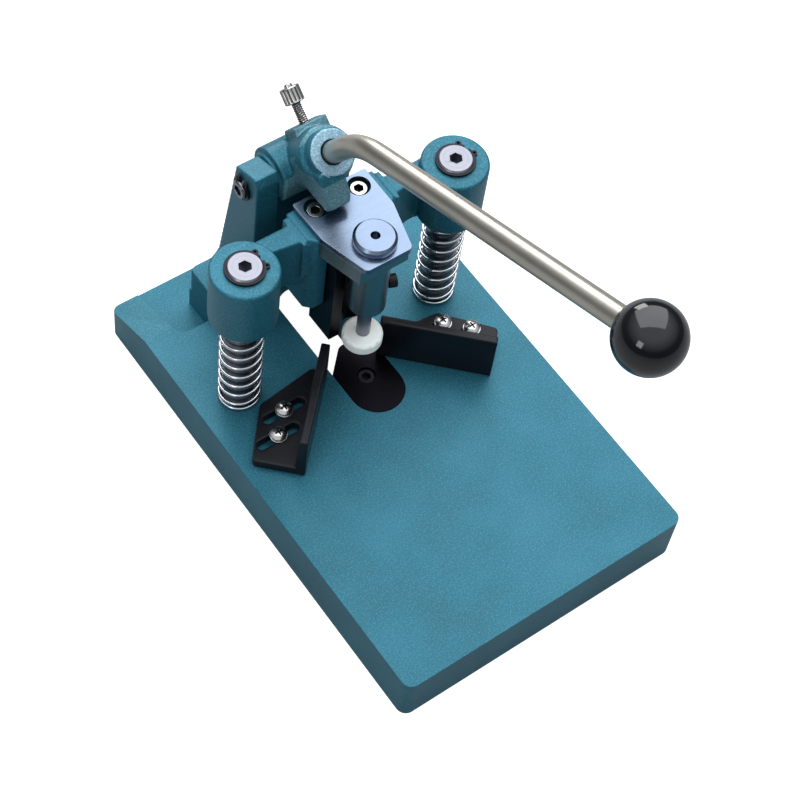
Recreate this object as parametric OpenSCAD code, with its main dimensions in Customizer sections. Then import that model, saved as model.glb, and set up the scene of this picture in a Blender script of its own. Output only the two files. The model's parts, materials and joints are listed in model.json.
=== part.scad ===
/* [Base] */
// Width of the base plate
base_w = 200; // [190:1:220]
// Depth of the base plate, front to rear
base_d = 315; // [311:1:325]
// Height of the base plate
base_h = 36; // [34:1:40]
// Corner radius of the base plate in plan
base_corner = 6.5; // [4:0.5:12]
// Width of the scrap slot
slot_w = 35; // [33:0.5:37]

/* [Cutting] */
// Radius of the rounded corner that the die gives
cut_radius = 6; // [3:0.5:9]
// How far the punch passes below the top of the die
punch_entry = 3.5; // [3:0.5:6]
// Travel of the crosshead, from the top to the bottom stop
stroke = 32; // [30:0.5:33]
// Swing of the handle over that travel, in degrees
swing = 53; // [48:1:54]

/* [Head] */
// Diameter of the two guide posts
post_d = 21; // [20:0.5:21.5]
// Distance between the guide posts
post_span = 144; // [140:1:150]
// Outside diameter of the guide bosses
boss_d = 40.5; // [38:0.5:42]
// Width of the head block
block_w = 59; // [55:1:62]
// Outside diameter of the return springs
spring_d = 26.5; // [26:0.5:30]
// Wire diameter of the return springs
spring_wire = 2.1; // [1.8:0.1:2.2]

/* [Handle] */
// Diameter of the handle rod
rod_d = 13; // [10:0.5:15]
// Diameter of the ball knob
ball_d = 37; // [30:0.5:42]

/* [Fences] */
// Length of each fence wall
fence_len = 71; // [66:1:74]
// Height of each fence wall
fence_h = 36; // [24:1:38]
// Wall thickness of a fence
fence_t = 5.5; // [4:0.5:7]

/* [Hidden] */
$fn = 64;
e = 0.01;
running = 0.05;
free = 0.3;

// Colours
teal = [0.23, 0.50, 0.58];
black = [0.07, 0.07, 0.08];
steel = [0.60, 0.62, 0.64];
bright = [0.80, 0.82, 0.85];
nylon = [0.90, 0.91, 0.86];

// Base: the scrap slot and the rear ledge
base_front = -154;
base_rear = base_front + base_d;
slot_r = slot_w / 2;
slot_front = 0.8;
slot_rear = 128;
slot_corner = 6;
ledge_rear = 36;
ledge_top = base_h - 16;
rear_ledge_z = 20;
rear_ledge_y = 113;
rear_ledge_x = 80;
block_foot_w = 111.4;
block_foot_y = [98, 140];
ramp_x = 75;
ramp_y = 120.5;
ramp_end_z = 21;
tap_r = 2.1;

// Guide posts and crosshead
post_x = post_span / 2;
post_y = 59.3;
boss_top = 162.4;
boss_bottom = 114;
post_top = 165.4;
spigot_d = 16;
spigot_z = 8;
circlip_z = boss_top + free;
circlip_t = 1.5;
block_y = [55.5, 82];
block_z = [93, 158];
block_chamfer = 4.5;
cheek_z = 126;
arm_y = [61.4, 75.7];
arm_inset = 3.6;
arm_top = 156.5;
arm_bottom = 115;

// Die and punch share one V outline whose sides are at 45 degrees
die_apex_y = 57.4;
die_clear = 0.3;
die_half = slot_r - die_clear;
cut_gap = 0.05;
punch_half = 17.2;
punch_wing_y = 47.5;
punch_rear_y = 68.5;
punch_bolt_y = 62.4;
punch_bolt_z = 151.6;
punch_z = base_h - punch_entry + stroke;

// Plate, holder and presser
plate_t = 4;
plate_z = block_z[1];
plate_top = plate_z + plate_t;
plate_front = [15.7, 22.6];
plate_mid = [24.6, 54];
plate_rear = [25, 83];
plate_screw = [14.8, 74.2];
plate_bore_r = 6.75;
recess = 4;
holder_z = 145.5;
holder_front = 26.3;
presser_y = 37.7;
housing_d = 22.3;
housing_z = 100.5;
housing_seat = 104.8;
cap_d = 25.5;
cap_top = plate_top + 5.5;
presser_d = 8.6;
foot_d = 24.5;
foot_top = 73;
foot_t = 9;

// Lever: pivot, involute nose, hub and handle
pivot_y = 107.8;
pivot_z = 160.9;
pin_d = 12;
ear_left = [-41, -25.8];
ear_right = [17.6, 24.6];
nose_x = [-14, 2];
nose_round = 7.8;
nose_end = 61.5;
nose_k = stroke / (swing * PI / 180);
nose_gap = 0.3;
hub_y = 82.1;
hub_z = 193.4;
hub_tilt = 54.4;
hub_d = 28;
barrel_r = 16.5;
rod_slope = 22.4;
bend_r = 60;
rod_in_hub = 31;
rod_in_ball = 8;
ball_y = -160;
ball_z = 315.2;

// Fence positions: outward distance from the die's cutting line, and the shift along the wall
fence_screw = [[58.6, 31.5], [71.2, 18.8]];
fence_left_out = 3;
fence_right_out = -4.5;
fence_left_near = 21;
fence_right_near = 13;
flange_t = 6.5;
flange_w = 32;
slot_reach = [12, 28.5];
slot_half = 2.9;
screw_head_d = 10;

// Half of a symmetric outline, mirrored into a closed one
function mirrored(half) = concat(half, [for (i = [len(half) - 1:-1:0]) [-half[i][0], half[i][1]]]);
function unit(v) = v / norm(v);

// Arc points that round the corner at b between a and c
function corner(a, b, c, r, n = 8) =
    let (u = unit(a - b), w = unit(c - b), half = acos(u * w) / 2,
         m = b + unit(u + w) * r / sin(half), t0 = b + u * r / tan(half), t1 = b + w * r / tan(half),
         a0 = atan2(t0[1] - m[1], t0[0] - m[0]), a1 = atan2(t1[1] - m[1], t1[0] - m[0]),
         turn = a1 - a0 > 180 ? a1 - a0 - 360 : a1 - a0 < -180 ? a1 - a0 + 360 : a1 - a0)
    [for (i = [0:n]) m + r * [cos(a0 + turn * i / n), sin(a0 + turn * i / n)]];
function rounded(p, r) =
    [for (i = [0:len(p) - 1])
        each (is_list(r) ? r[i] : r) <= 0 ? [p[i]]
            : corner(p[(i + len(p) - 1) % len(p)], p[i], p[(i + 1) % len(p)], is_list(r) ? r[i] : r)];

// A plate extruded from z0 to z1
module slab(z0, z1) translate([0, 0, z0]) linear_extrude(z1 - z0) children();

// A rectangle with rounded corners, as true arcs
module round_rect(w, d, r) {
    square([w - 2 * r, d], center = true);
    square([w, d - 2 * r], center = true);
    for (x = [-1, 1], y = [-1, 1]) translate([x * (w / 2 - r), y * (d / 2 - r)]) circle(r);
}

// Hexagonal key socket, pointing up
module key_socket(across, depth) cylinder(h = depth, d = across / cos(30), $fn = 6);

// Socket head cap screw, underside of the head at the origin, head towards +Z
module cap_screw(d, length) {
    difference() {
        cylinder(h = d, d = d * 5 / 3);
        translate([0, 0, d * 0.4]) key_socket(d * 5 / 6, d);
    }
    translate([0, 0, -length]) cylinder(h = length + e, d = d);
}

// An outline in the Y-Z plane, extruded along X from x0 to x1
module side_slab(x0, x1) translate([x0, 0, 0]) rotate([90, 0, 90]) linear_extrude(x1 - x0) children();

module slot_outline(r, front, rear, corner_r) {
    translate([0, front + r]) circle(r);
    translate([-r, front + r]) square([2 * r, rear - front - r - corner_r]);
    translate([-r + corner_r, rear - 2 * corner_r]) square([2 * (r - corner_r), 2 * corner_r]);
    for (x = [-1, 1]) translate([x * (r - corner_r), rear - corner_r]) circle(corner_r);
}

module base_plate() color(teal) difference() {
    slab(0, base_h) translate([0, base_front + base_d / 2]) round_rect(base_w, base_d, base_corner);
    intersection() {
        slab(-e, base_h + e) slot_outline(slot_r, slot_front, slot_rear, slot_corner);
        union() {
            slab(-1, base_h + 1) translate([-slot_w, ledge_rear]) square([2 * slot_w, slot_rear]);
            slab(ledge_top, base_h + 1) translate([-slot_w, 0]) square([2 * slot_w, slot_rear]);
        }
    }
    for (s = [-1, 1]) {
        rear_ramp(s);
        translate([s * post_x, post_y, spigot_z]) cylinder(h = base_h, d = spigot_d);
        for (p = fence_screw) translate([s * p[0], p[1], base_h - 18]) cylinder(h = 30, r = tap_r);
    }
    for (p = yoke_bolt_places()) translate([p[0], p[1], -e]) {
        cylinder(h = base_h + 1, d = 8);
        cylinder(h = 10, d = 15);
    }
    rear_scoop();
    translate([0, die_screw_y(), 4]) cylinder(h = base_h, d = 6);
}

function yoke_bolt_places() = [for (x = [-44, 44], y = [107, 131]) [x, y]];
function die_screw_y() = 29;

// Sloping facet on each rear corner, outside the low ledge
module rear_ramp(s) {
    fall = atan((base_h - ramp_end_z) / (base_rear - ramp_y));
    translate([s > 0 ? ramp_x : -ramp_x - 60, ramp_y, base_h]) rotate([-fall, 0, 0]) cube([60, 60, 20]);
}

// Low ledge beside and behind the yoke, between the two corner facets
module rear_scoop() slab(rear_ledge_z, base_h + 10) polygon(rounded([
    [-rear_ledge_x, base_rear + 9], [-rear_ledge_x, rear_ledge_y],
    [-block_foot_w / 2, rear_ledge_y], [-block_foot_w / 2, block_foot_y[1]],
    [block_foot_w / 2, block_foot_y[1]], [block_foot_w / 2, rear_ledge_y],
    [rear_ledge_x, rear_ledge_y], [rear_ledge_x, base_rear + 9]], [0, 9, 0, 0, 0, 0, 9, 0]));

// Side views of the two ears of the yoke; the right one is low and thin, behind the hub
left_ear_side = [[96, 50], [94.5, 172], [97, 178], [116, 171.5], [131, 78], [139, 56], [139, 50]];
right_ear_side = [[96, 50], [94.5, 167], [97, 171.5], [112, 168.5], [131, 78], [139, 56], [139, 50]];
web_side = [[120, 50], [120, 144], [126, 144], [134, 50]];

module rear_yoke() color(teal) difference() {
    union() {
        slab(base_h, 56) translate([0, (block_foot_y[0] + block_foot_y[1]) / 2])
            round_rect(block_foot_w, block_foot_y[1] - block_foot_y[0], 3);
        side_slab(ear_left[0], ear_left[1]) polygon(left_ear_side);
        side_slab(ear_right[0], ear_right[1]) polygon(right_ear_side);
        side_slab(ear_left[1] - 1, ear_right[0] + 1) polygon(web_side);
    }
    translate([0, pivot_y, pivot_z]) rotate([0, 90, 0]) cylinder(h = 200, d = pin_d, center = true);
    side_arch();
    for (p = yoke_bolt_places()) translate([p[0], p[1], base_h - 1]) cylinder(h = 15, d = 8);
}

// Arch over the scrap slot
module side_arch() translate([0, 200, 0]) rotate([90, 0, 0]) linear_extrude(200) {
    translate([-slot_r, base_h - 1]) square([slot_w, 9]);
    translate([-slot_r + 6, base_h - 1]) square([slot_w - 12, 15]);
    for (s = [-1, 1]) translate([s * (slot_r - 6), base_h + 8]) circle(6);
}

module yoke_bolts() color(black) for (p = yoke_bolt_places())
    translate([p[0], p[1], 10]) rotate([180, 0, 0]) cap_screw(8, 38);

// Pin through both ears, with a ring groove outside the left one
pin_x = -45;
ring_x = -43;
ring_t = 1.4;
module pivot_pin() color(steel) translate([pin_x, pivot_y, pivot_z]) rotate([0, 90, 0]) difference() {
    groove = ring_x - pin_x - 0.1;
    length = ear_right[1] + free - pin_x;
    rotate_extrude() polygon([
        [0, 0], [pin_d / 2 - 1, 0], [pin_d / 2, 1], [pin_d / 2, groove], [pin_d / 2 - 0.7, groove],
        [pin_d / 2 - 0.7, groove + ring_t + 0.2], [pin_d / 2, groove + ring_t + 0.2],
        [pin_d / 2, length - 0.5], [pin_d / 2 - 0.5, length], [0, length]]);
    translate([0, 0, -e]) key_socket(6, 4);
}

// External retaining ring with two lugs, flat in the X-Y plane
module circlip(shaft_d, thick, lug_turn) {
    groove = shaft_d - 1.4;
    outer = shaft_d + 2.8;
    spread = 27;
    difference() {
        union() {
            cylinder(h = thick, d = outer);
            for (a = [-spread, spread]) rotate(lug_turn + a) translate([outer / 2 + 0.2, 0, 0])
                cylinder(h = thick, r = 1.9);
        }
        translate([0, 0, -1]) cylinder(h = thick + 2, d = groove);
        rotate(lug_turn) translate([0, -1.6, -1]) cube([outer, 3.2, thick + 2]);
        for (a = [-spread, spread]) rotate(lug_turn + a) translate([outer / 2 + 0.4, 0, -1])
            cylinder(h = thick + 2, r = 0.8);
    }
}

module pivot_circlip() color(black) translate([ring_x, pivot_y, pivot_z])
    rotate([0, 90, 0]) circlip(pin_d, ring_t, 180);

module guide_post(s) color(steel) translate([s * post_x, post_y, 0]) difference() {
    rotate_extrude() polygon([
        [0, spigot_z], [spigot_d / 2, spigot_z], [spigot_d / 2, base_h], [post_d / 2, base_h],
        [post_d / 2, circlip_z], [post_d / 2 - 0.7, circlip_z], [post_d / 2 - 0.7, circlip_z + circlip_t],
        [post_d / 2, circlip_z + circlip_t], [post_d / 2, post_top - 1], [post_d / 2 - 1, post_top],
        [0, post_top]]);
    translate([0, 0, post_top - 8]) key_socket(7, 9);
}
module guide_post_left() guide_post(-1);
module guide_post_right() guide_post(1);

module post_circlip(s) color(black) translate([s * post_x, post_y, circlip_z])
    circlip(post_d, circlip_t, s > 0 ? 20 : 3);
module post_circlip_left() post_circlip(-1);
module post_circlip_right() post_circlip(1);

// Envelope of a return spring: closed end coils and a row of plain coils between them
module return_spring(s) color(bright) translate([s * post_x, post_y, base_h]) {
    free_len = boss_bottom - base_h;
    turns = 9;
    pitch = (free_len - spring_wire) / turns;
    difference() {
        union() {
            for (i = [0:turns]) translate([0, 0, i * pitch]) coil_ring();
            cylinder(h = free_len, d = spring_d - spring_wire);
        }
        translate([0, 0, -1]) cylinder(h = free_len + 2, d = spring_d - 2 * spring_wire);
    }
}
module coil_ring() cylinder(h = spring_wire, d = spring_d);
module return_spring_left() return_spring(-1);
module return_spring_right() return_spring(1);

// Tip arc and 45-degree sides of the cutting line, moved rearwards by a gap
function cut_arc(gap, half, base_y) =
    let (apex = die_apex_y + gap * sqrt(2), r = cut_radius + gap)
    concat([[half, min(base_y, apex - half)], [half, apex - half]],
           corner([half, apex - half], [0, apex], [-half, apex - half], r, 12),
           [[-half, apex - half], [-half, min(base_y, apex - half)]]);

module die_block() color(black) difference() {
    slab(ledge_top, base_h) {
        translate([0, slot_front + slot_r]) circle(die_half);
        polygon(cut_arc(0, die_half, slot_front + slot_r));
    }
    translate([0, die_screw_y(), base_h - 7.2]) cylinder(h = 10, d = 11);
    translate([0, die_screw_y(), ledge_top - 1]) cylinder(h = 30, d = 6);
}
module die_screw() color(black) translate([0, die_screw_y(), base_h - 7.2]) cap_screw(6, 20);

// Section of the punch: a block with a rounded 45-degree notch in its front
module punch_outline() {
    wing = die_apex_y + cut_gap * sqrt(2) - punch_wing_y;
    difference() {
        translate([-punch_half, punch_wing_y]) square([2 * punch_half, punch_rear_y - punch_wing_y]);
        polygon(concat([[wing + 1, punch_wing_y - 1]],
            corner([wing, punch_wing_y], [0, punch_wing_y + wing], [-wing, punch_wing_y],
                   cut_radius + cut_gap, 12),
            [[-wing - 1, punch_wing_y - 1]]));
    }
}
module punch() color(black) difference() {
    slab(punch_z, holder_z) punch_outline();
    translate([0, punch_bolt_y, holder_z - 14]) cylinder(h = 15, d = 6);
}

// Outline of the plate, narrowing towards the front
function plate_outline() = rounded(mirrored([plate_rear, plate_mid, plate_front]), [1.5, 8, 3.5, 3.5, 8, 1.5]);

module pressure_plate() color(bright) slab(plate_z, plate_top) difference() {
    polygon(plate_outline());
    for (s = [-1, 1]) translate([s * plate_screw[0], plate_screw[1]]) circle(plate_bore_r);
    translate([0, presser_y]) circle(8);
}

module plate_screws() color(black) for (s = [-1, 1])
    translate([s * plate_screw[0], plate_screw[1], plate_z - recess]) cap_screw(6, 22);

module punch_holder() color(steel) difference() {
    slab(holder_z, plate_z) difference() {
        polygon(plate_outline());
        translate([-40, 0]) square([80, holder_front]);
        translate([-40, punch_rear_y]) square([80, 40]);
        for (s = [-1, 1]) translate([s > 0 ? punch_half : -punch_half - 20, block_y[0]]) square([20, 40]);
    }
    translate([0, presser_y, holder_z - 1]) cylinder(h = 30, d = 16);
    translate([0, punch_bolt_y, holder_z - 1]) cylinder(h = 30, d = 6);
    translate([0, punch_bolt_y, punch_bolt_z]) cylinder(h = 10, d = 10.6);
}
module punch_screw() color(black) translate([0, punch_bolt_y, punch_bolt_z]) cap_screw(6, 20);

module crosshead() color(teal) difference() {
    union() {
        head_block();
        for (s = [-1, 1]) {
            arm(s);
            translate([s * post_x, post_y, 0]) rotate_extrude() polygon([
                [0, boss_bottom], [boss_d / 2 - 5.6, boss_bottom], [boss_d / 2 - 1.4, boss_bottom + 4.2],
                [boss_d / 2 - 0.4, boss_bottom + 6], [boss_d / 2, boss_bottom + 8.2],
                [boss_d / 2, boss_top - 1], [boss_d / 2 - 1, boss_top], [0, boss_top]]);
        }
    }
    for (s = [-1, 1]) {
        translate([s * post_x, post_y, boss_bottom - 1])
            cylinder(h = 60, d = post_d + 2 * running);
        translate([s * plate_screw[0], plate_screw[1], plate_z - recess])
            cylinder(h = 20, r = plate_bore_r);
        translate([s * plate_screw[0], plate_screw[1], plate_z - recess - 26]) cylinder(h = 40, d = 6);
    }
    slab(block_z[0] - 1, block_z[1] + 1)
        translate([-punch_half - 0.1, block_y[0] - 10])
            square([2 * punch_half + 0.2, punch_rear_y + 0.1 - block_y[0] + 10]);
}

// Middle block, with chamfered front corners and a groove under each side of the plate
module head_block() {
    half = block_w / 2;
    outline = mirrored([[half, block_y[1]], [half, block_y[0] + block_chamfer],
                        [half - block_chamfer, block_y[0]]]);
    slab(block_z[0], block_z[1]) polygon(outline);
    for (s = [-1, 1]) slab(cheek_z, block_z[1] - 1)
        translate([s > 0 ? half + 1.2 : -half - 3.6, block_y[0] + 3]) square([2.4, block_y[1] - block_y[0] - 5]);
    for (s = [-1, 1]) slab(cheek_z, block_z[1] - 3)
        translate([s > 0 ? half - 1 : -half - 3, block_y[0] + 3]) square([4, block_y[1] - block_y[0] - 5]);
}

// Arm from the block to a boss, arched underneath
module arm(s) {
    x0 = block_w / 2 - 1;
    x1 = post_x - 8;
    difference() {
        union() {
            slab(arm_bottom + 6, arm_top) polygon([
                [s * x0, arm_y[0]], [s * (post_x - 18), arm_y[0] + arm_inset], [s * x1, post_y],
                [s * x1, post_y + 16.4], [s * x0, arm_y[1]]]);
            slab(arm_bottom, arm_bottom + 7) polygon([
                [s * x0, arm_y[0]], [s * (post_x - 18), arm_y[0] + arm_inset], [s * (post_x - 18), arm_y[1]],
                [s * x0, arm_y[1]]]);
        }
        translate([s * 45, 40, arm_bottom - 9.5]) rotate([-90, 0, 0]) cylinder(h = 60, r = 13.5);
    }
}

module presser_housing() color(steel) translate([0, presser_y, 0]) difference() {
    rotate_extrude() polygon([
        [presser_d / 2 + running, housing_z], [housing_d / 2 - 2.5, housing_z],
        [housing_d / 2, housing_z + 2.5], [housing_d / 2, holder_z], [8, holder_z],
        [8, 157.5], [6.2, 157.5], [6.2, housing_seat], [presser_d / 2 + running, housing_seat]]);
    rotate([0, 90, -20]) translate([-120.2, 0, 0]) cylinder(h = 30, d = 5);
}

module housing_screw() color(black) translate([0, presser_y, 120.2]) rotate([0, 90, -20])
    translate([0, 0, housing_d / 2 + 0.2]) cap_screw(5, housing_d / 2 - 6);

module spring_cap() color(bright) translate([0, presser_y, 0]) difference() {
    rotate_extrude() polygon([
        [2.7, 152], [6.1, 152], [6.1, plate_top], [cap_d / 2 - 0.4, plate_top],
        [cap_d / 2, plate_top + 0.8], [cap_d / 2, cap_top - 1.6], [cap_d / 2 - 1.6, cap_top],
        [2.7, cap_top]]);
}

// Envelope of the hidden spring that pushes the presser down
spring_seat = 111;
module presser_spring() color(bright) translate([0, presser_y, spring_seat]) difference() {
    cylinder(h = 152 - spring_seat, d = 11.4);
    translate([0, 0, -1]) cylinder(h = 60, d = 9.2);
}

module presser_rod() color(steel) translate([0, presser_y, 0]) rotate_extrude() polygon([
    [0, foot_top - 6], [2.5, foot_top - 6], [2.5, foot_top], [presser_d / 2, foot_top],
    [presser_d / 2, 107], [6, 107], [6, spring_seat], [presser_d / 2, spring_seat],
    [presser_d / 2, 125], [2.3, 125], [2.3, 160], [0, 160]]);

module presser_foot() color(nylon) translate([0, presser_y, 0]) rotate_extrude() polygon([
    [0, foot_top - foot_t], [foot_d / 2 - 1.5, foot_top - foot_t], [foot_d / 2, foot_top - foot_t + 1.5],
    [foot_d / 2, foot_top - 1.5], [foot_d / 2 - 1.5, foot_top], [2.5, foot_top], [2.5, foot_top - 6],
    [0, foot_top - 6]]);

// Point of the nose profile in the lever's own frame, for a lever angle t in degrees:
// the contact keeps one offset from the pivot while it sinks in step with the angle
function nose(t) = let (h = plate_top + nose_gap - pivot_z - stroke * t / swing)
    [-nose_k * cos(t) + h * sin(t), nose_k * sin(t) + h * cos(t)];

module lever_hub() color(teal) difference() {
    union() {
        translate([0, pivot_y, pivot_z]) rotate([0, 90, 0]) {
            translate([0, 0, ear_left[1] + 2.5]) cylinder(h = ear_right[0] - ear_left[1] - 5, r = barrel_r);
            translate([0, 0, ear_left[1] + free])
                cylinder(h = ear_right[0] - ear_left[1] - 2 * free, r = barrel_r - 3);
        }
        intersection() {
            side_slab(nose_x[0] - 1, nose_x[1] + 1) translate([pivot_y, pivot_z])
                polygon(concat([for (i = [0:10]) nose(swing * i / 10)],
                               [[-33, 27], [-5, 12], [-14, -2]], [nose(0) + [8, 0.8]]));
            translate([0, 200, 0]) rotate([90, 0, 0]) linear_extrude(200) nose_front();
            slab(nose_end, 200) nose_plan();
        }
        hub_turned() rotate_extrude() polygon([
            [0, -34], [hub_d / 2 + 2.8, -34], [hub_d / 2 + 2.8, -9], [hub_d / 2 + 1.6, -7.6],
            [hub_d / 2, -7.2], [hub_d / 2, -1], [hub_d / 2 - 1, 0], [0, 0]]);
        side_slab(lug_x[0], lug_x[1]) polygon(clamp_lug);
    }
    translate([0, pivot_y, pivot_z]) rotate([0, 90, 0])
        cylinder(h = 80, d = pin_d + 2 * running, center = true);
    hub_turned() translate([0, 0, -rod_in_hub - 1]) cylinder(h = rod_in_hub + 10, d = rod_d + 1.2);
    thumb_place() translate([0, 0, -17]) cylinder(h = 40, d = 6 + 2 * running);
}

// Front view of the nose, with a round tip
module nose_front() polygon(rounded([
    [nose_x[0], 200], [nose_x[0], 161.3], [nose_x[1], 161.3], [nose_x[1], 200]],
    [0, nose_round, nose_round, 0]));

// Plan of the nose, with a round front end
module nose_plan() polygon(rounded([
    [nose_x[0] - 1, 130], [nose_x[0] - 1, nose_end], [nose_x[1] + 1, nose_end], [nose_x[1] + 1, 130]],
    [0, nose_round, nose_round, 0]));

module hub_turned() translate([0, hub_y, hub_z]) rotate([90 - hub_tilt, 0, 0]) children();
// Lug behind the hub, with the thumb screw through its rear face
lug_x = [-8.5, 13.5];
clamp_lug = [[98, 169], [96, 181.5], [108.3, 191.2], [117.1, 180.3], [112, 170]];
thumb_tilt = 51;
thumb_at = [2, 112.7, 185.8];
module thumb_place() translate(thumb_at) rotate([-thumb_tilt, 0, 0]) children();

// The rod runs up the hub's axis, turns through one round bend and runs straight to the ball
function heading(a) = [cos(a), sin(a)];
function cross2(a, b) = a[0] * b[1] - a[1] * b[0];
hub_at = [hub_y, hub_z];
ball_at = [ball_y, ball_z];
lower_dir = heading(180 - hub_tilt);
upper_dir = heading(180 - rod_slope);
bend_at = hub_at + lower_dir * cross2(ball_at - hub_at, upper_dir) / cross2(lower_dir, upper_dir);
bend_turn = hub_tilt - rod_slope;
bend_reach = bend_r * tan(bend_turn / 2);

// Place something in the Y-Z plane at a point, with its local X along a heading
module side_place(p, a) translate([0, p[0], p[1]]) rotate([90, 0, 90]) rotate(a) children();
module side_rod(p, q) side_place(p, atan2(q[1] - p[1], q[0] - p[0])) rotate([0, 90, 0])
    cylinder(h = norm(q - p), d = rod_d);

// Ring of points round the rod at a point of its axis, square to a heading
rod_sides = 24;
function rod_ring(p, a) = [for (j = [0:rod_sides - 1]) let (t = 360 * j / rod_sides)
    [rod_d / 2 * cos(t), p[0] - rod_d / 2 * sin(t) * sin(a), p[1] + rod_d / 2 * sin(t) * cos(a)]];

module handle_rod() color(steel) {
    bend_steps = 8;
    first = 180 - hub_tilt;
    bend_centre = bend_at - lower_dir * bend_reach + heading(first + 90) * bend_r;
    rings = concat(
        [rod_ring(hub_at - lower_dir * rod_in_hub, first)],
        [for (i = [0:bend_steps]) let (a = first + bend_turn * i / bend_steps)
            rod_ring(bend_centre + heading(a - 90) * bend_r, a)],
        [rod_ring(ball_at - upper_dir * rod_in_ball, first + bend_turn)]);
    n = rod_sides;
    last = (len(rings) - 1) * n;
    polyhedron([for (r = rings) each r], concat(
        [[for (j = [0:n - 1]) j]],
        [for (i = [0:len(rings) - 2], j = [0:n - 1]) let (k = (j + 1) % n)
            [i * n + k, i * n + j, (i + 1) * n + j, (i + 1) * n + k]],
        [[for (j = [n - 1:-1:0]) last + j]]));
}

module thumb_screw() color(bright) thumb_place() {
    translate([0, 0, -13.6]) cylinder(h = 26, d = 6);
    translate([0, 0, 12]) cylinder(h = 9.5, d = 12);
    translate([0, 0, 21.5]) cylinder(h = 1.8, d = 5);
}

module ball_knob() color(black) difference() {
    translate([0, ball_y, ball_z]) sphere(d = ball_d);
    side_rod(bend_at, ball_at - upper_dir * rod_in_ball);
}

// One fence: wall along +X from its near end, flange towards +Y, slots across it at 45 degrees
module fence_shape(slots) {
    difference() {
        union() {
            translate([0, 0, 0]) cube([fence_len, fence_t, fence_h]);
            slab(0, flange_t) polygon(rounded(
                [[0, 0], [fence_len, 0], [fence_len, flange_w], [32, flange_w + 3], [0, 10]],
                [0, 2, 3, 5, 2]));
        }
        for (p = slots) slab(-1, flange_t + 1) translate(p) rotate(45) {
            ends = (slot_reach - [p[1], p[1]]) * sqrt(2);
            translate([ends[0], -slot_half]) square([ends[1] - ends[0], 2 * slot_half]);
            for (at = ends) translate([at, 0]) circle(slot_half);
        }
    }
}
// Place of a fence's near end: on the cutting line, moved outward, then along the wall
function fence_near(out, near) = let (c = die_apex_y + out * sqrt(2)) [near, c - near];
function on_fence(p, o) = let (d = p - o) [d[0] - d[1], d[0] + d[1]] / sqrt(2);
module fence(s, out, near) {
    o = fence_near(out, near);
    mirror([s < 0 ? 1 : 0, 0, 0]) translate([o[0], o[1], base_h]) rotate(-45)
        fence_shape([for (p = fence_screw) on_fence(p, o)]);
}
module fence_left() color(black) fence(-1, fence_left_out, fence_left_near);
module fence_right() color(black) fence(1, fence_right_out, fence_right_near);

module fence_screws(s) color(bright) for (p = fence_screw)
    translate([s * p[0], p[1], base_h + flange_t + 1.3]) {
        difference() {
            intersection() {
                cylinder(h = 3.4, d = screw_head_d);
                translate([0, 0, -4.6]) sphere(r = 8);
            }
            for (a = [0, 90]) rotate(a) translate([-2.4, -0.5, 1.4]) cube([4.8, 1, 5]);
        }
        translate([0, 0, -22]) cylinder(h = 22 + e, r = tap_r);
    }
module fence_screws_left() fence_screws(-1);
module fence_screws_right() fence_screws(1);
module fence_washers(s) color(steel) for (p = fence_screw)
    translate([s * p[0], p[1], base_h + flange_t + free]) difference() {
        cylinder(h = 1, d = 11);
        translate([0, 0, -1]) cylinder(h = 3, r = tap_r);
    }
module fence_washers_left() fence_washers(-1);
module fence_washers_right() fence_washers(1);

base_plate();
rear_yoke();
yoke_bolts();
pivot_pin();
pivot_circlip();
guide_post_left();
guide_post_right();
post_circlip_left();
post_circlip_right();
return_spring_left();
return_spring_right();
die_block();
die_screw();
fence_left();
fence_right();
fence_screws_left();
fence_screws_right();
fence_washers_left();
fence_washers_right();
crosshead();
pressure_plate();
plate_screws();
punch_holder();
punch();
punch_screw();
presser_housing();
housing_screw();
spring_cap();
presser_spring();
presser_rod();
presser_foot();
lever_hub();
handle_rod();
thumb_screw();
ball_knob();
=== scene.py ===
"""Bench corner rounder: the visible pieces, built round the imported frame."""
import json
import math

import bmesh
import bpy
from mathutils import Matrix, Vector


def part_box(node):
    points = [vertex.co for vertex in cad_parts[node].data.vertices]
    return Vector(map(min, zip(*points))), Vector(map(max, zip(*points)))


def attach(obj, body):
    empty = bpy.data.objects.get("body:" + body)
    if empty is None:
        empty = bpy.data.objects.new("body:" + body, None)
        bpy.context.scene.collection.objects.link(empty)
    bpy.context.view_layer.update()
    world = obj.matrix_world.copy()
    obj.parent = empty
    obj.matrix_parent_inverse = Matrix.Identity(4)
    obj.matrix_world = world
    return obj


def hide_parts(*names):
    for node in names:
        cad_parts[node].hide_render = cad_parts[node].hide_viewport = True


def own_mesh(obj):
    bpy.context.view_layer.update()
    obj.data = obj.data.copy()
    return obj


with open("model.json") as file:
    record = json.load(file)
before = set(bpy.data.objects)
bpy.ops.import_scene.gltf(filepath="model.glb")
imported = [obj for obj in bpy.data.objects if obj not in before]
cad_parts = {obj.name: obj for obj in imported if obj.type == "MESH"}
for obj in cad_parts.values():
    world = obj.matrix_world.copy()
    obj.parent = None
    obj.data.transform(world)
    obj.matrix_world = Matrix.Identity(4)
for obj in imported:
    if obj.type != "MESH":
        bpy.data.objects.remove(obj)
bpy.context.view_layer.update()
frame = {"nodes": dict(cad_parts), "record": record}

NODES = frame["nodes"]
RECORD = frame["record"]
BODY = {n: b for b, names in RECORD["behaviour"]["bodies"].items() for n in names}
SLOT = {s["node"]: s["material_slot"] for s in RECORD["subparts"]}
MM = 0.001
SCENE = bpy.context.scene


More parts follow.
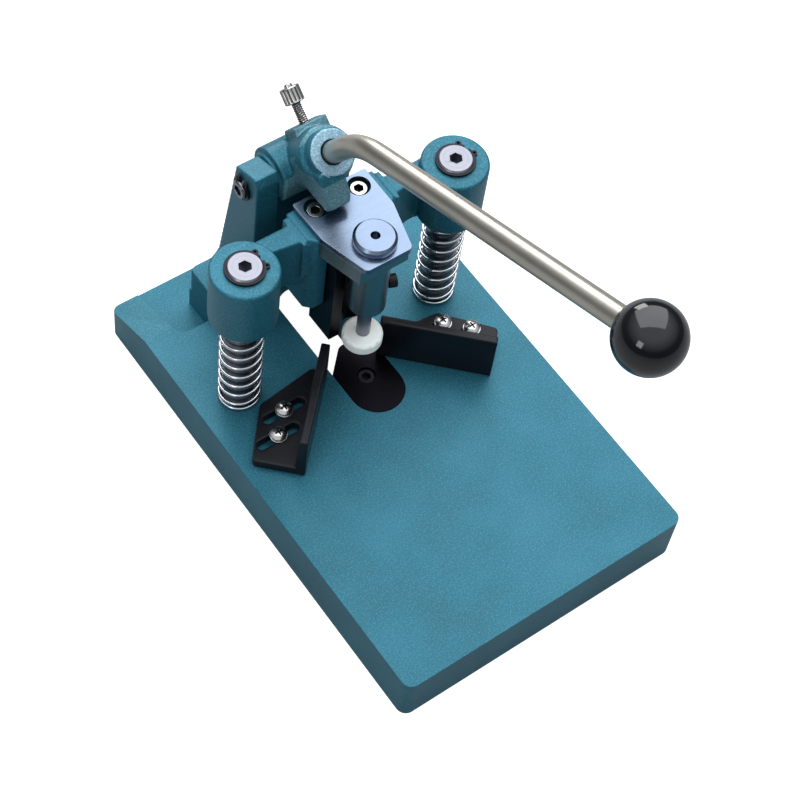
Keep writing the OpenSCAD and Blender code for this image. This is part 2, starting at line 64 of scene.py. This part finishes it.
# ---------------------------------------------------------------- shader nodes
class Shader:
    """A material whose nodes are added one at a time."""

    def __init__(self, name, base, metallic=0.0, rough=0.4, **sockets):
        self.mat = bpy.data.materials.new(name)
        self.mat.use_nodes = True
        self.tree = self.mat.node_tree
        self.bsdf = self.tree.nodes["Principled BSDF"]
        self.set("Base Color", (*base, 1))
        self.set("Metallic", metallic)
        self.set("Roughness", rough)
        for key, value in sockets.items():
            self.set(key.replace("_", " "), value)
        self.coord = self.tree.nodes.new("ShaderNodeTexCoord").outputs["Object"]
        self.height = None

    def set(self, socket, value):
        self.bsdf.inputs[socket].default_value = value

    def node(self, kind, **values):
        n = self.tree.nodes.new("ShaderNode" + kind)
        for key, value in values.items():
            if hasattr(n, key):
                setattr(n, key, value)
            else:
                n.inputs[key.replace("_", " ")].default_value = value
        return n

    def link(self, a, b):
        self.tree.links.new(a, b)

    def stretched(self, scale, turn=(0, 0, 0)):
        """Object coordinates, turned and then scaled."""
        m = self.node("Mapping")
        m.vector_type = "POINT"
        m.inputs["Rotation"].default_value = turn
        self.link(self.coord, m.inputs["Vector"])
        s = self.node("VectorMath", operation="MULTIPLY")
        self.link(m.outputs[0], s.inputs[0])
        s.inputs[1].default_value = scale
        return s.outputs[0]

    def noise(self, scale, detail=3.0, rough=0.55, vector=None):
        n = self.node("TexNoise", Scale=scale, Detail=detail, Roughness=rough)
        self.link(vector or self.coord, n.inputs["Vector"])
        return n.outputs["Fac"]

    def cells(self, scale):
        n = self.node("TexVoronoi", feature="F1", Scale=scale)
        self.link(self.coord, n.inputs["Vector"])
        return n

    def rings(self, scale, distortion=0.0):
        """Fine turning rings round the object's own Z axis."""
        n = self.node("TexWave", wave_type="RINGS", rings_direction="Z", Scale=scale,
                      Distortion=distortion, Detail=1.0)
        self.link(self.coord, n.inputs["Vector"])
        return n.outputs["Fac"]

    def ramp(self, fac, stops):
        """A colour ramp through [(position, (r, g, b) or grey), ...]."""
        r = self.node("ValToRGB")
        marks = r.color_ramp.elements
        while len(marks) < len(stops):
            marks.new(0.5)
        for mark, (at, colour) in zip(marks, stops):
            mark.position = at
            mark.color = (*colour, 1) if isinstance(colour, tuple) else (colour,) * 3 + (1,)
        self.link(fac, r.inputs[0])
        return r.outputs[0]

    def mix(self, fac, a, b):
        m = self.node("Mix", data_type="RGBA")
        for socket, value in ((m.inputs["Factor"], fac), (m.inputs[6], a), (m.inputs[7], b)):
            if isinstance(value, bpy.types.NodeSocket):
                self.link(value, socket)
            elif isinstance(value, tuple):
                socket.default_value = (*value, 1)
            else:
                socket.default_value = value
        return m.outputs[2]

    def colour(self, value):
        self.link(value, self.bsdf.inputs["Base Color"])

    def roughness(self, fac, low, high):
        m = self.node("MapRange")
        m.inputs["To Min"].default_value, m.inputs["To Max"].default_value = low, high
        self.link(fac, m.inputs["Value"])
        self.link(m.outputs[0], self.bsdf.inputs["Roughness"])

    def bump(self, fac, strength, distance):
        b = self.node("Bump", Strength=strength, Distance=distance)
        self.link(fac, b.inputs["Height"])
        if self.height is not None:
            self.link(self.height, b.inputs["Normal"])
        self.height = b.outputs[0]
        self.link(self.height, self.bsdf.inputs["Normal"])


def hammertone(name, dark, mid, light):
    """Cast iron under teal enamel: a fine orange peel, a faint mottle and small bright flecks, the glitter
    of the paint's flakes painted into the colour as painted glints.
    """
    s = Shader(name, mid, metallic=0.25, rough=0.42, Specular_IOR_Level=0.25)
    mottle = s.noise(26, 4, 0.5)
    sand = s.noise(1000, 2, 0.55)
    peel = s.noise(700, 3, 0.55)
    base = s.ramp(mottle, [(0.34, dark), (0.52, mid), (0.70, light)])
    grainy = s.mix(s.ramp(sand, [(0.46, 0.0), (0.72, 0.75)]), base, tuple(1.7 * c for c in light))
    # Painted glints: small lighter dots in the colour where the paint's flakes would catch the light
    fleck = s.cells(1150)
    painted_glint = s.ramp(fleck.outputs["Distance"], [(0.0, 0.6), (0.13, 0.25), (0.20, 0.0)])
    s.colour(s.mix(painted_glint, grainy, (0.26, 0.46, 0.52)))
    s.roughness(sand, 0.30, 0.52)
    s.bump(s.noise(60, 2, 0.5), 0.12, 0.4 * MM)
    s.bump(peel, 0.14, 0.15 * MM)
    s.bump(sand, 0.35, 0.10 * MM)
    return s.mat


def brushed(name, colour, rough, scale=(500, 18, 500), turn=(0, 0, 0), strength=0.12, dirt=0.12):
    """Ground metal with fine lines along one direction and a slow change of gloss."""
    s = Shader(name, colour, metallic=1.0, rough=rough)
    line = s.noise(1.0, 4, 0.7, s.stretched(scale, turn))
    smear = s.noise(38, 3, 0.6)
    shade = s.ramp(smear, [(0.3, tuple(c * (1 - dirt) for c in colour)), (0.7, colour)])
    s.colour(s.mix(s.ramp(line, [(0.35, 0.0), (0.75, 0.25)]), shade, tuple(c * 0.72 for c in colour)))
    s.roughness(line, rough * 0.75, rough * 1.35)
    s.bump(line, strength, 0.05 * MM)
    return s.mat


def turned(name, colour, rough, pitch=0.45):
    """Metal faced on a lathe: faint rings round the object's own axis."""
    s = Shader(name, colour, metallic=1.0, rough=rough)
    ring = s.rings(1000 / pitch / 20, 0.6)
    smear = s.noise(60, 3, 0.6)
    s.colour(s.mix(s.ramp(smear, [(0.35, 0.0), (0.7, 0.4)]), colour, tuple(c * 0.78 for c in colour)))
    s.roughness(ring, rough * 0.8, rough * 1.3)
    s.bump(ring, 0.10, 0.05 * MM)
    s.bump(s.noise(900, 2, 0.5), 0.05, 0.04 * MM)
    return s.mat


def coated(name, colour, rough, grain=900, metallic=0.0, strength=0.15, pale=(0.10, 0.10, 0.12), **more):
    """Black oxide, satin coating or moulded plastic: fine grain, rubbed patches and light specks."""
    s = Shader(name, colour, metallic=metallic, rough=rough, **more)
    fine = s.noise(grain, 3, 0.6)
    slow = s.noise(60, 4, 0.6)
    speck = s.cells(700)
    rubbed = s.mix(s.ramp(slow, [(0.45, 0.0), (0.80, 0.30)]), colour, pale)
    s.colour(s.mix(s.ramp(speck.outputs["Distance"], [(0.0, 0.35), (0.06, 0.0)]), rubbed, pale))
    s.roughness(slow, rough * 0.85, rough * 1.25)
    s.bump(fine, strength, 0.10 * MM)
    return s.mat


M = {
    "hammertone": hammertone("hammertone_teal",
                             (0.016, 0.104, 0.143), (0.018, 0.121, 0.168), (0.024, 0.138, 0.195)),
    "sand_paint": hammertone("sand_paint",
                             (0.060, 0.150, 0.180), (0.085, 0.190, 0.225), (0.120, 0.240, 0.280)),
    # Painted light: a lighter copy of the teal paint for the hub's end face
    "end_face_painted_light": hammertone("end_face_painted_light",
                            (0.200, 0.330, 0.410), (0.240, 0.390, 0.480), (0.300, 0.450, 0.550)),
    "black_steel": coated("black_oxide", (0.014, 0.013, 0.018), 0.38, metallic=0.7, pale=(0.05, 0.05, 0.06)),
    # Painted shade for the driver recesses of the screws
    "recess": coated("recess_shadow", (0.006, 0.006, 0.007), 0.6, pale=(0.02, 0.02, 0.02),
                     Specular_IOR_Level=0.1),
    "tool_steel": brushed("tool_steel_dark", (0.011, 0.010, 0.014), 0.36, (600, 600, 25), strength=0.2),
    "ground_steel": turned("ground_steel_turned", (0.245, 0.245, 0.28), 0.27),
    # Painted shade: a darker copy of the post steel for the posts' upright sides
    "post_side": brushed("post_side_painted_shade", (0.16, 0.17, 0.19), 0.28, (40, 40, 900), strength=0.1),
    # Painted reflection: the teal tint of this ground steel stands for the teal casting it mirrors
    "dark_steel": brushed("dark_steel_teal_reflection", (0.24, 0.32, 0.35), 0.32, (450, 450, 16), strength=0.22),
    "spring_wire": brushed("spring_wire_plated", (0.82, 0.83, 0.85), 0.16, (300, 300, 300), strength=0.05),
    "fence_black": coated("fence_satin_black", (0.006, 0.006, 0.009), 0.34, pale=(0.022, 0.022, 0.036),
                          Specular_IOR_Level=0.22),
    "nickel": brushed("bright_nickel", (0.56, 0.54, 0.52), 0.20, (700, 700, 200), strength=0.08),
    # Painted shade: a darker copy of the nickel for the thumb screw's grooves
    "groove": brushed("groove_painted_shade", (0.16, 0.14, 0.12), 0.35, (700, 700, 200), strength=0.08),
    # Painted reflection: the blue tint of the chrome stands for the pale blue surroundings it mirrors
    "satin_chrome": brushed("satin_chrome_blue_reflection", (0.21, 0.265, 0.36), 0.25, (60, 900, 60), strength=0.03),
    # Painted light: a faint emission makes the nylon foot glow a little
    "nylon": coated("nylon_natural_painted_glow", (0.95, 0.97, 0.93), 0.38, pale=(0.97, 0.98, 0.96), strength=0.08,
                    Subsurface_Weight=0.15, Subsurface_Scale=0.002,
                    Emission_Color=(0.90, 0.95, 0.88, 1), Emission_Strength=0.10),
    "handle_nickel": brushed("handle_nickel_polished", (0.54, 0.505, 0.44), 0.34, (420, 7, 420),
                             (math.radians(22.4), 0, 0), 0.10),
    "ball_black": coated("ball_phenolic_black", (0.006, 0.006, 0.008), 0.085, grain=2000, strength=0.02,
                         pale=(0.02, 0.02, 0.026), Specular_IOR_Level=0.6),
}


# ---------------------------------------------------------------- mesh helpers
def add_object(name, mesh):
    obj = bpy.data.objects.new(name, mesh)
    SCENE.collection.objects.link(obj)
    return obj


def shade(bm, angle):
    """Smooth faces, with the edges sharper than an angle kept crisp."""
    for f in bm.faces:
        f.smooth = True
    for e in bm.edges:
        e.smooth = len(e.link_faces) == 2 and e.calc_face_angle(math.pi) < math.radians(angle)


def dress(obj, nodes):
    """A finished piece stands for CAD nodes, rides on their body and takes their slot."""
    obj.data.materials.clear()
    obj.data.materials.append(M[SLOT[nodes[0]]])
    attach(obj, BODY[nodes[0]])
    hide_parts(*nodes)
    return obj


def node_mesh(node, origin=(0, 0, 0)):
    """The CAD node's surface as a clean bmesh, measured from an origin in metres."""
    bm = bmesh.new()
    bm.from_mesh(NODES[node].data)
    bmesh.ops.transform(bm, matrix=Matrix.Translation(-Vector(origin)), verts=bm.verts)
    bmesh.ops.remove_doubles(bm, verts=bm.verts, dist=1e-6)
    bmesh.ops.dissolve_limit(bm, angle_limit=math.radians(0.4), verts=bm.verts, edges=bm.edges)
    bmesh.ops.recalc_face_normals(bm, faces=bm.faces)
    return bm


def edged(node, width, origin=(0, 0, 0), segments=2, angle=28):
    """The CAD node with every hard edge rounded over."""
    bm = node_mesh(node, origin)
    shade(bm, angle)
    mesh = bpy.data.meshes.new(node + "_piece")
    bm.to_mesh(mesh)
    bm.free()
    obj = add_object(node + "_piece", mesh)
    obj.location = origin
    b = obj.modifiers.new("edges", "BEVEL")
    b.width, b.segments, b.limit_method = width, segments, "ANGLE"
    b.angle_limit = math.radians(angle)
    b.harden_normals = True
    b.miter_outer = "MITER_ARC"
    return dress(obj, [node])


def recess(obj, radius):
    """The driver recess in the top of each upright screw gets a dark, dull surface: painted shade."""
    mesh = obj.data
    mesh.materials.append(M["recess"])
    group = list(range(len(mesh.vertices)))

    def root(i):
        while group[i] != i:
            group[i] = group[group[i]]
            i = group[i]
        return i

    for a, b in mesh.edge_keys:
        group[root(a)] = root(b)
    parts = {}
    for v in mesh.vertices:
        parts.setdefault(root(v.index), []).append(v.co)
    for face in mesh.polygons:
        cloud = parts[root(face.vertices[0])]
        x = (min(c.x for c in cloud) + max(c.x for c in cloud)) / 2
        y = (min(c.y for c in cloud) + max(c.y for c in cloud)) / 2
        top = max(c.z for c in cloud)
        near = math.hypot(face.center.x - x, face.center.y - y) < radius
        if near and top - 5 * MM < face.center.z < top - 0.3 * MM:
            inward = face.normal.x * (face.center.x - x) + face.normal.y * (face.center.y - y) < 0
            wall = abs(face.normal.z) < 0.5 and inward
            bottom = face.normal.z > 0.9 and face.center.z < top - 0.9 * MM
            if wall or bottom:
                face.material_index = 1
    return obj


def cast(node, voxel, smooth):
    """The CAD node as a casting: hard edges and inside corners melt into small fillets."""
    bm = node_mesh(node)
    mesh = bpy.data.meshes.new(node + "_rough")
    bmesh.ops.triangulate(bm, faces=bm.faces)
    bm.to_mesh(mesh)
    bm.free()
    obj = add_object(node + "_casting", mesh)
    r = obj.modifiers.new("voxels", "REMESH")
    r.mode, r.voxel_size, r.use_smooth_shade = "VOXEL", voxel, True
    s = obj.modifiers.new("melt", "SMOOTH")
    s.factor, s.iterations = 0.5, smooth
    bpy.context.view_layer.update()
    final = bpy.data.meshes.new_from_object(obj.evaluated_get(bpy.context.evaluated_depsgraph_get()))
    obj.modifiers.clear()
    obj.data = final
    return dress(obj, [node])


def frame_at(along, side):
    """Two unit vectors square to a path's direction."""
    u = (side - along * side.dot(along)).normalized()
    return u, along.cross(u)


def tube(name, path, radii, sides, side=Vector((1, 0, 0)), origin=(0, 0, 0), clamp=None):
    """A closed tube through the points of a path; each point has its own radius."""
    bm = bmesh.new()
    rings = []
    for i, p in enumerate(path):
        along = (path[min(i + 1, len(path) - 1)] - path[max(i - 1, 0)]).normalized()
        u, w = frame_at(along, side(i) if callable(side) else side)
        ring = []
        for j in range(sides):
            t = 2 * math.pi * j / sides
            q = p + (u * math.cos(t) + w * math.sin(t)) * radii[i]
            if clamp:
                q.z = min(max(q.z, clamp[0]), clamp[1])
            ring.append(bm.verts.new(q - Vector(origin)))
        rings.append(ring)
    for a, b in zip(rings, rings[1:]):
        for j in range(sides):
            bm.faces.new((a[j], a[(j + 1) % sides], b[(j + 1) % sides], b[j]))
    bm.faces.new(rings[0])
    bm.faces.new(rings[-1])
    bmesh.ops.recalc_face_normals(bm, faces=bm.faces)
    shade(bm, 40)
    mesh = bpy.data.meshes.new(name)
    bm.to_mesh(mesh)
    bm.free()
    obj = add_object(name, mesh)
    obj.location = origin
    return obj


def lathe(name, profile, matrix, sides=96, radius=None, sharp=30):
    """A profile of (radius, height) in metres turned round Z, then placed by a matrix.

    radius(r, z, angle) may cut knurls or threads into it.
    """
    bm = bmesh.new()
    rings = []
    for r, z in profile:
        if r < 1e-7:
            rings.append([bm.verts.new((0, 0, z))])
            continue
        ring = []
        for j in range(sides):
            t = 2 * math.pi * j / sides
            q = radius(r, z, t) if radius else r
            ring.append(bm.verts.new((q * math.cos(t), q * math.sin(t), z)))
        rings.append(ring)
    for a, b in zip(rings, rings[1:]):
        for j in range(sides):
            k = (j + 1) % sides
            if len(a) == 1 and len(b) == 1:
                break
            if len(a) == 1:
                bm.faces.new((a[0], b[j], b[k]))
            elif len(b) == 1:
                bm.faces.new((a[j], b[0], a[k]))
            else:
                bm.faces.new((a[j], b[j], b[k], a[k]))
    bmesh.ops.recalc_face_normals(bm, faces=bm.faces)
    shade(bm, sharp)
    mesh = bpy.data.meshes.new(name)
    bm.to_mesh(mesh)
    bm.free()
    obj = add_object(name, mesh)
    obj.matrix_world = matrix
    return obj


# ---------------------------------------------------------------- castings
HUB_AT = Vector((0, 82.1, 193.4)) * MM
HUB_TILT, ROD_SLOPE = math.radians(54.4), math.radians(22.4)
BEND_R, ROD_D, IN_HUB, IN_BALL = 60 * MM, 13 * MM, 31 * MM, 8 * MM
# End of the hub, as a disc square to its axis, painted a lighter teal as painted light; sand paint from the
# nose up and on the lug, in mm
LIT_FACE_R, LIT_FACE_DEPTH, LIT_FACE_FACING = 14.2 * MM, -3 * MM, 0.8
NOSE_TOP, NOSE_BACK, LUG_FOOT, LUG_FRONT = 182, 94, 178, 95


def heading(a):
    """The direction forward and up by an angle from level."""
    return Vector((0, -math.cos(a), math.sin(a)))


cast("crosshead", 0.70 * MM, 5)
lever = cast("lever_hub", 0.60 * MM, 6)
lever.data.materials.append(M["sand_paint"])
lever.data.materials.append(M["end_face_painted_light"])
hub_axis = heading(HUB_TILT)
for face in lever.data.polygons:
    at, n = face.center / MM, face.normal
    offset = face.center - HUB_AT
    depth = offset.dot(hub_axis)
    in_disc = depth > LIT_FACE_DEPTH and (offset - hub_axis * depth).length < LIT_FACE_R
    on_nose = at.z < NOSE_TOP and at.y < NOSE_BACK
    on_lug = at.z > LUG_FOOT and at.y > LUG_FRONT and n.y < 0.3
    # The end face takes the lighter paint: painted light
    if n.dot(hub_axis) > LIT_FACE_FACING and in_disc:
        face.material_index = 2
    elif on_nose or on_lug:
        face.material_index = 1
cast("rear_yoke", 0.80 * MM, 4)
edged("base_plate", 1.3 * MM, segments=3, angle=30)

# ---------------------------------------------------------------- machined parts
POST = {}
for side in ("left", "right"):
    lo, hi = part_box("guide_post_" + side)
    POST[side] = ((lo.x + hi.x) / 2, (lo.y + hi.y) / 2, 0)
    post = edged("guide_post_" + side, 0.35 * MM, POST[side])
    # The upright sides below the top take the darker steel: painted shade
    post.data.materials.append(M["post_side"])
    for face in post.data.polygons:
        face.material_index = int(abs(face.normal.z) < 0.5 and face.center.z < hi.z - 4 * MM)
    edged("post_circlip_" + side, 0.15 * MM, POST[side])
    cast("fence_" + side, 0.55 * MM, 9)
    recess(edged("fence_screws_" + side, 0.2 * MM), 2.9 * MM)
    edged("fence_washers_" + side, 0.15 * MM)
lo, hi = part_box("presser_foot")
PRESSER = ((lo.x + hi.x) / 2, (lo.y + hi.y) / 2, 0)
edged("pressure_plate", 0.45 * MM, segments=3)
edged("punch_holder", 0.4 * MM)
edged("punch", 0.12 * MM)
edged("die_block", 0.25 * MM)
edged("presser_housing", 0.35 * MM, PRESSER)
edged("spring_cap", 0.25 * MM, PRESSER)
edged("presser_rod", 0.2 * MM, PRESSER)
edged("presser_foot", 0.8 * MM, PRESSER, segments=4)
for node in ("plate_screws", "punch_screw", "die_screw", "yoke_bolts"):
    recess(edged(node, 0.3 * MM), 3.3 * MM)
edged("housing_screw", 0.3 * MM)
edged("pivot_pin", 0.3 * MM)
edged("pivot_circlip", 0.12 * MM)


# ---------------------------------------------------------------- springs
def coil(name, centre, z0, z1, outer, wire, active, closed=1.25):
    """A helical spring with closed, ground ends."""
    mean, steps = outer / 2 - wire / 2, 40
    total = active + 2 * closed
    low, high = z0 + wire * 0.35, z1 - wire * 0.35
    rise = (high - low - 2 * closed * wire) / active

    def height(t):
        if t < closed:
            return low + t * wire
        if t > total - closed:
            return high - (total - t) * wire
        return low + closed * wire + (t - closed) * rise

    path, outward = [], []
    for i in range(int(total * steps) + 1):
        t = i / steps
        a = 2 * math.pi * t
        d = Vector((math.cos(a), math.sin(a), 0))
        outward.append(d)
        path.append(Vector(centre) + d * mean + Vector((0, 0, height(t))))
    return tube(name, path, [wire / 2] * len(path), 12, lambda i: outward[i], centre, (z0, z1))


RETURN_WIRE, RETURN_TURNS = 1.9 * MM, 7.5
PRESSER_WIRE, PRESSER_TURNS = 1.1 * MM, 9
for side in ("left", "right"):
    lo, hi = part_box("return_spring_" + side)
    spring = coil("return_coil_" + side, POST[side], lo.z, hi.z, hi.x - lo.x, RETURN_WIRE, RETURN_TURNS)
    dress(spring, ["return_spring_" + side])
    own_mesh(spring)
lo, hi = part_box("presser_spring")
spring = coil("presser_coil", PRESSER, lo.z, hi.z, hi.x - lo.x, PRESSER_WIRE, PRESSER_TURNS)
dress(spring, ["presser_spring"])
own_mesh(spring)

# ---------------------------------------------------------------- handle
lo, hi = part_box("ball_knob")
BALL_R = (hi.x - lo.x) / 2
BALL_AT = Vector((0, lo.y + BALL_R, hi.z - BALL_R))
lower, upper = heading(HUB_TILT), heading(ROD_SLOPE)
gap = BALL_AT - HUB_AT
reach = (gap.y * upper.z - gap.z * upper.y) / (lower.y * upper.z - lower.z * upper.y)
corner = HUB_AT + lower * reach
cut = BEND_R * math.tan((HUB_TILT - ROD_SLOPE) / 2)
start, steps = corner - lower * cut, 28
path = [HUB_AT - lower * IN_HUB, HUB_AT, start - lower * 2 * MM]
centre = start + Vector((0, -math.sin(HUB_TILT), -math.cos(HUB_TILT))) * BEND_R
for i in range(steps + 1):
    a = HUB_TILT + (ROD_SLOPE - HUB_TILT) * i / steps
    path.append(centre + Vector((0, math.sin(a), math.cos(a))) * BEND_R)
for i in range(1, 9):
    path.append(path[3 + steps].lerp(BALL_AT - upper * IN_BALL, i / 8))
dress(tube("handle_bar", path, [ROD_D / 2] * len(path), 48), ["handle_rod"])

# Ball: a moulded sphere with a small flat collar where the rod goes in
turn = (-upper).to_track_quat("Z", "X").to_matrix().to_4x4()
mouth = ROD_D / 2 + 1.6 * MM
edge = math.asin(mouth / BALL_R)
profile = [(0.0, -BALL_R)]
profile += [(BALL_R * math.sin(t), -BALL_R * math.cos(t)) for t in
            [math.pi * 0.02 + (math.pi * 0.98 - edge) * i / 60 for i in range(61)]]
top = profile[-1][1]
profile += [(mouth - 0.5 * MM, top + 0.25 * MM), (ROD_D / 2 + 0.05 * MM, top + 0.1 * MM),
            (ROD_D / 2 + 0.05 * MM, top - 3 * MM), (0, top - 3 * MM)]
ball = lathe("ball_grip", profile, Matrix.Translation(BALL_AT) @ turn, 96, sharp=50)
dress(ball, ["ball_knob"])

# Thumb screw: rolled thread, fluted head and a small tip
PITCH, FLUTES = 1.25 * MM, 14
THREAD_END, FLUTES_FROM, FLUTES_TO = 11.6 * MM, 12.9 * MM, 20.6 * MM
THREAD_DEPTH, FLUTE_DEPTH = 0.62 * MM, 0.55 * MM
THUMB_AT, THUMB_TILT = Vector((2, 112.7, 185.8)) * MM, math.radians(-51)


def screw_radius(r, z, t):
    if z < THREAD_END:
        phase = (z / PITCH - t / (2 * math.pi)) % 1.0
        return r - THREAD_DEPTH * (1 - abs(2 * phase - 1))
    if FLUTES_FROM < z < FLUTES_TO:
        return r - FLUTE_DEPTH * abs(math.cos(FLUTES * t / 2)) ** 3
    return r


thread = [(3.0 * MM, (-13.6 + 0.2 * i) * MM) for i in range(127)]
profile = [(0, -13.6 * MM)] + thread + [
    (2.5 * MM, 11.8 * MM), (4.0 * MM, 12.0 * MM), (5.5 * MM, 12.1 * MM), (6.0 * MM, 12.6 * MM),
    (6.0 * MM, 13.0 * MM), (6.0 * MM, 20.5 * MM), (6.0 * MM, 20.9 * MM), (5.5 * MM, 21.5 * MM),
    (2.5 * MM, 21.55 * MM), (2.4 * MM, 22.9 * MM), (2.0 * MM, 23.3 * MM), (0, 23.3 * MM)]
place = Matrix.Translation(THUMB_AT) @ Matrix.Rotation(THUMB_TILT, 4, "X")
thumb = dress(lathe("thumb_screw_piece", profile, place, 140, screw_radius, 25), ["thumb_screw"])
thumb.data.materials.append(M["groove"])
# The thread roots and the flute valleys take the darker nickel: painted shade
for face in thumb.data.polygons:
    r, z = math.hypot(face.center.x, face.center.y) / MM, face.center.z / MM
    face.material_index = int((z < 11.7 and r < 2.66) or (13.0 < z < 20.4 and r < 5.74))

# ---------------------------------------------------------------- stage, light and camera
# The floor is white to the camera and sends little light to the object
FLOOR_HALF, GLOW_ON_OBJECT, GLOW_SEEN = 4, 0.09, 1.0
bm = bmesh.new()
bmesh.ops.create_grid(bm, x_segments=8, y_segments=8, size=FLOOR_HALF)
mesh = bpy.data.meshes.new("floor")
bm.to_mesh(mesh)
bm.free()
floor = add_object("floor", mesh)
pale = Shader("floor_pale", (0.30, 0.30, 0.30), rough=0.8, Emission_Color=(1.0, 1.0, 1.0, 1),
              Specular_IOR_Level=0.1)
glow = pale.node("MapRange")
glow.inputs["To Min"].default_value, glow.inputs["To Max"].default_value = GLOW_ON_OBJECT, GLOW_SEEN
pale.link(pale.node("LightPath").outputs["Is Camera Ray"], glow.inputs["Value"])
pale.link(glow.outputs[0], pale.bsdf.inputs["Emission Strength"])
pale.bump(pale.noise(40, 2, 0.5), 0.02, 0.1 * MM)
mesh.materials.append(pale.mat)

# A bright ceiling over dim walls, so that upright faces stay darker than level ones
world = bpy.data.worlds.new("studio")
world.use_nodes = True
SCENE.world = world
tree = world.node_tree
direction = tree.nodes.new("ShaderNodeTexCoord").outputs["Generated"]
split = tree.nodes.new("ShaderNodeSeparateXYZ")
fade = tree.nodes.new("ShaderNodeValToRGB")
fade.color_ramp.elements[0].position, fade.color_ramp.elements[0].color = 0.22, (0.07, 0.08, 0.085, 1)
fade.color_ramp.elements[1].position, fade.color_ramp.elements[1].color = 0.75, (0.86, 0.93, 1.0, 1)
tree.links.new(direction, split.inputs[0])
tree.links.new(split.outputs["Z"], fade.inputs[0])
tree.links.new(fade.outputs[0], tree.nodes["Background"].inputs["Color"])
tree.nodes["Background"].inputs["Strength"].default_value = 1.0
AIM = Vector((0, 0.03, 0.08))
for name, at, size, power, tint in (
        ("key_top", (0.45, 0.60, 1.45), 2.2, 33, (0.98, 0.99, 1.0)),
        ("rear_low", (0.75, 1.75, 0.75), 0.7, 8, (1.0, 1.0, 1.0)),
        ("soft_left", (-1.5, -0.5, 1.0), 0.5, 3, (1.0, 1.0, 1.0))):
    lamp = bpy.data.lights.new(name, "AREA")
    lamp.energy, lamp.size, lamp.color = power, size, tint
    obj = bpy.data.objects.new(name, lamp)
    SCENE.collection.objects.link(obj)
    obj.location = at
    obj.rotation_mode = "QUATERNION"
    obj.rotation_quaternion = (AIM - Vector(at)).to_track_quat("-Z", "Y")

AZ, EL, ROLL, DISTANCE = math.radians(-43.700), math.radians(57.364), math.radians(9.595), 1.30078
TARGET, LENS, SENSOR = Vector((0.022788, 0.020188, 0)), 94.11, 36
back = Vector((math.sin(AZ) * math.cos(EL), -math.cos(AZ) * math.cos(EL), math.sin(EL)))
right = (-back).cross(Vector((0, 0, 1))).normalized()
up = right.cross(-back)
across = math.cos(ROLL) * right + math.sin(ROLL) * up
upward = -math.sin(ROLL) * right + math.cos(ROLL) * up
data = bpy.data.cameras.new("camera")
data.lens, data.sensor_width, data.clip_start, data.clip_end = LENS, SENSOR, 0.05, 50
camera = bpy.data.objects.new("camera", data)
SCENE.collection.objects.link(camera)
camera.matrix_world = (Matrix.Translation(TARGET + back * DISTANCE)
                       @ Matrix((across, upward, back)).transposed().to_4x4())
SCENE.camera = camera
SCENE.view_settings.view_transform = "Standard"

bpy.context.view_layer.update()
